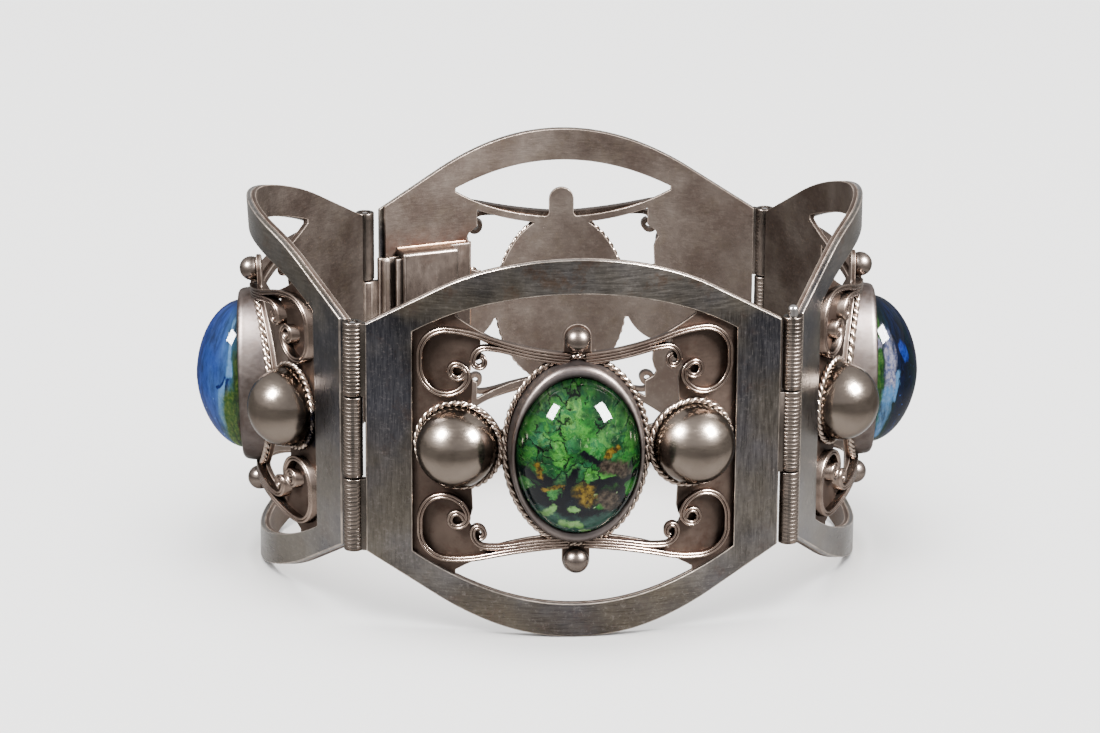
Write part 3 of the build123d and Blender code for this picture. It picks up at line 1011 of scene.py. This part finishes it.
# Burnished strip, drawn wire, satin spun and polished silver, each with darker cloudy patches
bezel_metal = old_silver("bezel_silver", "#4E4847", "#5E5753", "#3A322E", 0.4, (1, 1, 1), relief=0.35)
along_wire = (0.6, 1, 0.6)
wire_metal = old_silver("scroll_wire_silver", "#50443D", "#665A52", "#7E6E64", 0.24, along_wire, relief=0.05)
rope_metal = old_silver("rope_wire_silver", "#645850", "#7C7066", "#96877C", 0.27, along_wire, relief=0.05)
dome_metal = old_silver("satin_dome_silver", "#564D46", "#645B53", "#645B53", 0.21, (0.3, 1, 3),
                        "#4A4238", 0.4, 0.02)
ball_metal = old_silver("polished_ball_silver", "#4C443F", "#5C534D", "#5C534D", 0.28, (0.3, 1, 3),
                        "#4A4038", 0.3, 0.02)
knuckle_metal = old_silver("hinge_tube_silver", "#37332F", "#4C4540", "#60564F", 0.3, (1, 1, 0.5),
                           relief=0.05)
pin_metal = old_silver("pin_wire_silver", "#6A686A", "#8A8684", "#A8A4A0", 0.18, (1, 1, 1), relief=0.05)
# Folded sheet, and the dull reddish solder that holds it
box_metal = old_silver("clasp_box_silver", "#3A322D", "#463E39", "#857A72", 0.36, (1, 1, 0.3), relief=0.1)
solder_metal = old_silver("old_solder", "#5A4032", "#6E5442", "#7A6656", 0.42, (1, 1, 1), "#3A2018", 0.5)

# Stones. Places are in millimetres from the middle of the stone: across, or round the crown, and up.
# Strokes of one colour are its two tones and its strokes: start, end and half width.
green_ground = ((0.0, "#3A5C4C"), (0.13, "#2C4A40"), (0.24, "#141E28"), (0.36, "#0C1018"), (0.5, "#10221A"),
                (0.62, "#1E4A2C"), (0.8, "#2A6A38"), (1.0, "#16301E"))
green_chips = ((0.0, "#16522E"), (0.16, "#2C8832"), (0.34, "#42A23A"), (0.46, "#6CC24E"), (0.56, "#226A3C"),
               (0.7, "#3C8A60"), (0.84, "#8ACC64"), (1.0, "#2A7A3A"))
green_strokes = (
    ("#0B0E16", "#10131C", (((-5.4, -0.7), (-3.0, -1.3), 0.5), ((-1.9, -3.4), (-0.6, -0.4), 0.6),
                            ((0.0, 1.6), (2.0, 0.5), 0.35), ((0.9, -1.5), (4.9, -1.2), 0.4),
                            ((-3.0, -4.2), (1.2, -4.6), 0.45), ((1.2, -5.0), (4.0, -4.2), 0.5))),
    ("#2E2721", "#6C5E50", (((2.3, -3.0), (2.8, -3.6), 0.85), ((2.4, 0.3), (4.0, -0.4), 0.65))),
    ("#3C3010", "#AC8C2C", (((0.3, -2.2), (0.5, -2.9), 0.85), ((2.4, 1.3), (3.3, 1.7), 0.3),
                            ((-4.0, 0.2), (-3.7, -0.8), 0.3), ((-3.4, -2.1), (-1.9, -1.7), 0.2),
                            ((2.2, -6.3), (2.9, -6.6), 0.3))),
    ("#2C5046", "#4A7464", (((-3.4, -5.2), (-1.0, -6.8), 1.1), ((0.0, -6.6), (3.0, -5.6), 0.9))),
    ("#7CB862", "#A8D088", (((-1.6, -5.9), (0.0, -6.1), 0.42), ((0.5, -6.9), (1.2, -7.3), 0.3),
                            ((-3.4, -5.0), (-2.4, -4.1), 0.35), ((-0.9, -4.0), (-0.4, -4.3), 0.3))),
)
navy_ground = ((0.0, "#1C5A28"), (0.1, "#1A3A30"), (0.2, "#101C3A"), (0.3, "#0A1028"), (0.5, "#0C1230"),
               (0.7, "#142A6A"), (1.0, "#0C1A3A"))
navy_chips = ((0.0, "#0A0E20"), (0.5, "#10204A"), (1.0, "#1A3A7A"))
navy_strokes = (
    ("#2E7A2A", "#7CB050", (((-9.0, 6.8), (-8.3, 4.6), 0.7), ((-8.8, 3.2), (-8.7, -4.5), 0.65))),
    ("#6A74A4", "#DCD8E8", (((-7.1, 4.6), (-7.0, -0.6), 0.7), ((-8.8, 4.1), (-8.2, 3.7), 0.3))),
    ("#5F9CD8", "#86B4E0", (((-7.3, -1.0), (-7.9, -5.6), 0.75), ((-5.9, 1.0), (-6.3, -1.6), 0.3))),
    ("#142C88", "#2C58C8", (((-5.0, 3.4), (-4.4, 2.4), 0.5),)),
)
teal_ground = ((0.0, "#2A5A52"), (0.3, "#123038"), (0.5, "#0E2A22"), (0.7, "#1A4A4A"), (1.0, "#123A30"))
teal_strokes = (("#463814", "#8E742C", (((-1.5, 1.0), (0.5, 2.0), 0.8),)),)
blue_ground = ((0.0, "#10185A"), (0.35, "#121E6A"), (0.5, "#16266E"), (0.6, "#243C92"), (0.74, "#3B5EB2"),
               (0.88, "#527FC2"), (1.0, "#3A7A3A"))
blue_chips = ((0.0, "#20389A"), (0.5, "#3A62BE"), (1.0, "#5A8CD8"))
blue_strokes = (
    ("#6FA6E0", "#8ABCEC", (((6.9, 0.2), (6.4, -3.8), 0.55), ((7.6, 6.0), (7.5, 1.5), 0.35))),
    ("#101F5A", "#1A2F7A", (((7.4, 0.9), (7.2, -1.0), 0.16), ((5.9, 0.0), (7.0, 1.1), 0.16))),
    ("#2A5220", "#687C32", (((9.3, 7.0), (9.2, 3.0), 0.4), ((8.9, 3.0), (8.6, -0.5), 0.75),
                            ((8.4, -1.5), (7.0, -6.8), 1.7))),
    ("#7A4A14", "#3A1A0C", (((8.7, -3.5), (8.5, -6.0), 0.3), ((9.3, 1.0), (9.2, -2.0), 0.15))),
)
# The last value for each stone is its painted edge shade: where on the way out it starts, and its colour.
stone_glass = {
    "front": foil_glass("green_foil_glass", False, green_ground, green_chips, "#C2E8A4", 1.0, green_strokes,
                        (0.72, "#0A1812")),
    "right": foil_glass("navy_foil_glass", True, navy_ground, navy_chips, "#3A62B0", 0.35, navy_strokes,
                        (0.93, "#0A1014")),
    "back": foil_glass("teal_foil_glass", False, teal_ground, green_chips, "#8ACCB0", 0.8, teal_strokes,
                       (0.82, "#08140F")),
    "left": foil_glass("blue_foil_glass", True, blue_ground, blue_chips, "#7AA8E8", 0.3, blue_strokes,
                       (0.95, "#101A14")),
}


# Fitting the pieces to the bracelet
def turned_with(seat, side, place):
    """How a surface's direction turns where a bench place is seated."""
    reach = 0.01
    middle = seat(side, *place)
    columns = []
    for axis in range(3):
        beside = list(place)
        beside[axis] += reach
        columns.append((seat(side, *beside) - middle) / reach)
    return Matrix(columns).transposed().inverted().transposed()


def settle(piece, side, body, slot, finish, seat=bent, smooth=35, even=False):
    """Keeps bench place and worn edges as attributes, sets the piece on its panel, and hands it over. An
    even piece keeps its flat faces flat in the light."""
    mesh = piece.data
    pick(piece)
    bpy.ops.object.shade_smooth_by_angle(angle=math.radians(smooth))
    if even:
        finish_modifier(piece, "WEIGHTED_NORMAL", keep_sharp=True, weight=80)
        flat_normals = [corner.vector.copy() for corner in mesh.corner_normals]
        turns = [turned_with(seat, side, corner.co) for corner in mesh.vertices]
    kept = mesh.attributes.new("bench", "FLOAT_VECTOR", "POINT")
    worn = mesh.attributes.new("worn", "FLOAT", "FACE")
    # Rounded edges are the faces that lie neither along the sheet nor square to it.
    for face, store in zip(mesh.polygons, worn.data):
        store.value = 1 if 0.08 < abs(face.normal.y) < 0.97 else 0
    matrix = panel_matrix(side)
    shift = 0 if "glass" in slot else panel_shift * list(turn).index(side)
    for corner, store in zip(mesh.vertices, kept.data):
        u, y, v = corner.co
        store.vector = (u + shift, y, v)
        corner.co = (matrix @ seat(side, u, y, v)) * mm
    if even:
        rotation = matrix.to_3x3()
        corners = [loop.vertex_index for loop in mesh.loops]
        mesh.normals_split_custom_set([(rotation @ (turns[index] @ normal)).normalized()
                                       for index, normal in zip(corners, flat_normals)])
    if seat is at_clasp:
        # That place is a mirrored one, so the faces are turned to point outward again.
        edit_all(piece)
        bpy.ops.mesh.flip_normals()
        done()
    mesh.materials.clear()
    mesh.materials.append(finish)
    piece.location = (0, 0, 0)
    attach(piece, body)
    return piece


def on_both_sides(name, piece, by):
    """The same piece at a distance each way from the panel's middle."""
    return joined(name, [moved(copied(piece, name), [way * far for far in by]) for way in (-1, 1)])


bend_steps = 12
bends = [bend_half_width * ((step + 0.5) / bend_steps - 1) for step in range(2 * bend_steps)]
frame_bench = frame_plate()
base_bench = base_plate()
slices(frame_bench, bends)
slices(base_bench, bends)
scroll_bench = scroll_wires()
dome_ropes = [rope(dome_radius + 0.28, dome_radius + 0.28, way * dome_u) for way in (-1, 1)]
setting_rope_bench = rope(setting_half[0] + 0.22, setting_half[1] + 0.22)
dome_rope_bench = joined("dome_ropes", dome_ropes)
bezel_bench = bezel()
stone_bench = cabochon()
dome_bench = dome()
ball_bench = small_ball()
dome_pair = on_both_sides("domes", dome_bench, (dome_u, 0, 0))
ball_pair = on_both_sides("balls", ball_bench, (0, 0, ball_v))


def knuckle_set(way, middle, ringed=True):
    """Tubes at one end of a panel, and the ears of sheet that run into them."""
    inside = middle_knuckle / 2
    low = inside + knuckle_gap / 2
    spans = [(-inside + knuckle_gap / 2, inside - knuckle_gap / 2)]
    if not middle:
        spans = [(low, hinge_length / 2), (-hinge_length / 2, -low)]
    tubes = []
    ears = []
    ear_start = sheet_end - 0.3
    ear_end = half_pitch - 0.65
    for low, high in spans:
        tubes.append(moved(knuckle(low, high, ringed), (way * half_pitch, 0, 0)))
        low, high = max(low, -corner_v), min(high, corner_v)
        ear = plate("ear", [(ear_start, low), (ear_end, low), (ear_end, high), (ear_start, high)],
                    inner_face + 0.02, outer_face - 0.06)
        soften(ear, 0.05)
        ears.append(moved(ear, flip=(way, 1, 1)))
    return tubes, ears


def trim_clasp_end(piece, gap):
    """Ends the back panel's sheet short of the clasp's hinge, square to itself."""
    slope = math.radians(end_slope["back"])
    edit_all(piece)
    bpy.ops.mesh.bisect(plane_co=(half_pitch - gap * math.cos(slope), -inner_face, 0),
                        plane_no=(1, math.sin(slope), 0), use_fill=True, clear_outer=True)
    done()


# What each panel has: its bench, name, metal, seat, smoothing angle in degrees, and whether it is even.
panel_pieces = (
    (frame_bench, "frame", frame_metal, bent, 35, True),
    (base_bench, "base", base_metal, bent, 35, True),
    (scroll_bench, "scrolls", wire_metal, bent, 50, False),
    (setting_rope_bench, "setting_rope", rope_metal, bent, 60, False),
    (dome_rope_bench, "dome_ropes", rope_metal, on_dome_foot, 60, False),
    (bezel_bench, "bezel", bezel_metal, footed, 50, False),
    (dome_pair, "domes", dome_metal, on_dome_foot, 60, False),
    (ball_pair, "balls", ball_metal, upright, 60, False),
)
for side in turn:
    link = side + "_link"
    metal_pieces = []
    for bench, label, finish, seat, smooth, even in panel_pieces:
        piece = copied(bench, side + "_" + label)
        if side == "back" and label in clasp_gap:
            trim_clasp_end(piece, clasp_gap[label])
        metal_pieces.append(settle(piece, side, link, "silver", finish, seat, smooth, even))
    tubes, ears = knuckle_set(-1, False, side != "left")
    if side != "back":
        more_tubes, more_ears = knuckle_set(1, True)
        tubes += more_tubes
        ears += more_ears
    knuckles = joined(side + "_knuckles", tubes)
    metal_pieces.append(settle(knuckles, side, link, "silver", knuckle_metal, at_hinge, 80))
    metal_pieces.append(settle(joined(side + "_ears", ears), side, link, "silver", knuckle_metal))
    for piece in metal_pieces:
        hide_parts(side + "_panel")
    stone = copied(stone_bench, side + "_cabochon")
    settle(stone, side, link, side + "_glass", stone_glass[side], upright, 60)
    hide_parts(side + "_stone")

for bench in (*(row[0] for row in panel_pieces), stone_bench, dome_bench, ball_bench):
    bpy.data.objects.remove(bench)

# Clasp: a folded box soldered inside the back panel's end, and the tongue that springs into it
sheet_face = outer_face
box_foot = sheet_face - box_sink
box_top = sheet_face + box_depth
box = strip("box", box_mouth, box_end, box_foot, box_top, box_half_height)
soften(box, 0.32, 4)
cut(box, strip("hollow", box_mouth - past, box_end - box_wall, sheet_face, box_top - box_wall,
               box_half_height - box_wall))
flange = strip("flange", box_end - flange_lap, box_end + flange_reach, box_foot, sheet_face + box_wall,
               box_half_height)
soften(flange, 0.15)
box = settle(joined("clasp_box", [box, flange]), "back", "back_link", "silver", box_metal, at_clasp, 40)
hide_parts("back_panel")

# Solder runs along three sides of the box, in a slightly uneven line.
solder_y = sheet_face + 0.04
solder_v = box_half_height + 0.03
seams = []
for way in (-1, 1):
    seams.append([(box_mouth + 0.2 + 0.4 * step, solder_y + 0.03 * math.sin(step * 2.1), way * solder_v)
                  for step in range(20)])
seams.append([(box_end + flange_reach + 0.02, solder_y, -solder_v + 0.4 * step) for step in range(36)])
solder = run_along("clasp_solder", seams, round_wire=0.2)
settle(solder, "back", "back_link", "silver", solder_metal, at_clasp, 60)
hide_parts("back_panel")

inset = box_wall + tongue_gap
tongue_half = box_half_height - inset
tongue_near = sheet_face + tongue_gap
tongue_deep = box_top - inset
fold = box_end - inset
leaf_end = 2.6
near_inside = tongue_near + base_sheet
deep_inside = tongue_deep - base_sheet
fold_inside = fold - base_sheet
leaf = folded("leaf", [(tongue_start, tongue_near), (fold, tongue_near), (fold, tongue_deep),
                       (leaf_end, tongue_deep), (leaf_end, deep_inside), (fold_inside, deep_inside),
                       (fold_inside, near_inside), (tongue_start, near_inside)], tongue_half)
soften(leaf, 0.12, 3)
neck = folded("neck", [(0.7, 0.1), (1.4, 0.2), (1.8, tongue_near), (1.8, near_inside),
                       (1.3, tongue_near + 0.4), (0.65, 0.6)], 3.92)
bulge_ends = ((0.4, 0.3, tongue_half), (0.52, 0.42, 6.2), (0.56, 0.46, 6.0))
bulge_rows = [(wide, tall, -far) for wide, tall, far in bulge_ends] + list(reversed(bulge_ends))
bulge = raised("bulge", bulge_rows, 32, axis_depth=False)
moved(bulge, (1.9, tongue_near + 0.4, 0))
tube_half = middle_knuckle / 2 - knuckle_gap / 2
tongue = joined("tongue", [leaf, neck, bulge, knuckle(-tube_half, tube_half, False)])
settle(tongue, "back", "back_link", "silver", base_metal, at_clasp, 50)
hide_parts("clasp_tongue")

# Pins, in the frames of the panels that carry them
for node_name, side, way, link, rise in (("front_left_pin", "front", -1, "front_link", 0),
                                         ("front_right_pin", "front", 1, "front_link", tall_pin_rise),
                                         ("back_right_pin", "back", -1, "right_link", 0),
                                         ("clasp_pin", "back", 1, "left_link", 0)):
    wire = moved(pin(rise), (way * half_pitch, 0, 0))
    wire.name = node_name + "_wire"
    settle(wire, side, link, "pin_silver", pin_metal, at_hinge, 60)
    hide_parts(node_name)

# Floor: matt pale paper, with no gloss at all
clear_selection()
bpy.ops.mesh.primitive_plane_add(size=6)
floor = named("floor")
paper = material("pale_paper")
plain = {"Base Color": linear("#E8E7E5"), "Roughness": 1.0, "Specular IOR Level": 0.0}
floor.data.materials.append(shown(paper, add("ShaderNodeBsdfPrincipled", plain)))

# A grey card lies round the object, as a photographer lays one to darken polished metal. It shows only in
# reflections: thin near the object, solid further out, with a low wall at its edge.
card_rows = [(0.03, 0.0008), (0.5, 0.001), (0.56, 0.1)]
card = turned_up("grey_card", card_rows, 96, axis_depth=False, fill_end=False)
felt = material("grey_felt")
card_place = add("ShaderNodeTexCoord").outputs["Object"]
cover = spread(vector_maths("LENGTH", {}, "Value", n0=card_place), 0.03, 0.075)
clear = add("ShaderNodeBsdfTransparent")
grey = add("ShaderNodeBsdfDiffuse", {"Color": linear("#7C7B79")})
shader = add("ShaderNodeMixShader", None, n0=cover, n1=clear.outputs[0], n2=grey.outputs[0])
card.data.materials.append(shown(felt, shader))
card.visible_camera = card.visible_diffuse = card.visible_shadow = False

world = bpy.data.worlds.new("studio")
bpy.context.scene.world = world
world.use_nodes = True
sky = world.node_tree.nodes["Background"]
sky.inputs[0].default_value = linear("#FBFCFF")
sky.inputs[1].default_value = 1.5


def softbox(name, place, aim, width, power, shows_on="metal"):
    """A square softbox. One lights only what is glossy, as a sharp highlight; the other only what is matt."""
    clear_selection()
    bpy.ops.object.light_add(type="AREA", location=place)
    lamp = named(name)
    lamp.data.shape = "SQUARE"
    lamp.data.size = width
    lamp.data.energy = power
    lamp.rotation_euler = (Vector(aim) - Vector(place)).to_track_quat("-Z", "Y").to_euler()
    if shows_on == "metal":
        lamp.visible_diffuse = False
    else:
        lamp.visible_glossy = False


softbox("left_softbox", (-0.19, -0.12, 0.215), (0, 0, 0.02), 0.09, 11)
softbox("right_softbox", (0.165, -0.1, 0.175), (0, 0, 0.02), 0.09, 12)
softbox("top_softbox", (0.0, -0.2, 1.2), (0, 0, 0), 1.2, 50, "matt")

# Camera at the photograph's angle, with its focal length in pixels of the picture
picture_width = 1100
sensor_width = 36
camera_place = (-0.008277, -0.393854, 0.1348)
elevation = math.radians(16.406)
yaw = math.radians(0.938)
roll = math.radians(0.371)
focal_pixels = 4140.8
forward = Vector((math.sin(yaw) * math.cos(elevation), math.cos(yaw) * math.cos(elevation),
                  -math.sin(elevation)))
level = Vector((math.cos(yaw), -math.sin(yaw), 0))
up = level.cross(forward)
across = level * math.cos(roll) + up * math.sin(roll)
above = up * math.cos(roll) - level * math.sin(roll)
clear_selection()
bpy.ops.object.camera_add()
camera = named("camera")
turned = Matrix((across, above, -forward)).transposed().to_4x4()
camera.matrix_world = Matrix.Translation(camera_place) @ turned
camera.data.sensor_width = sensor_width
camera.data.sensor_fit = "HORIZONTAL"
camera.data.lens = focal_pixels * sensor_width / picture_width
camera.data.clip_start = 0.01
bpy.context.scene.camera = camera
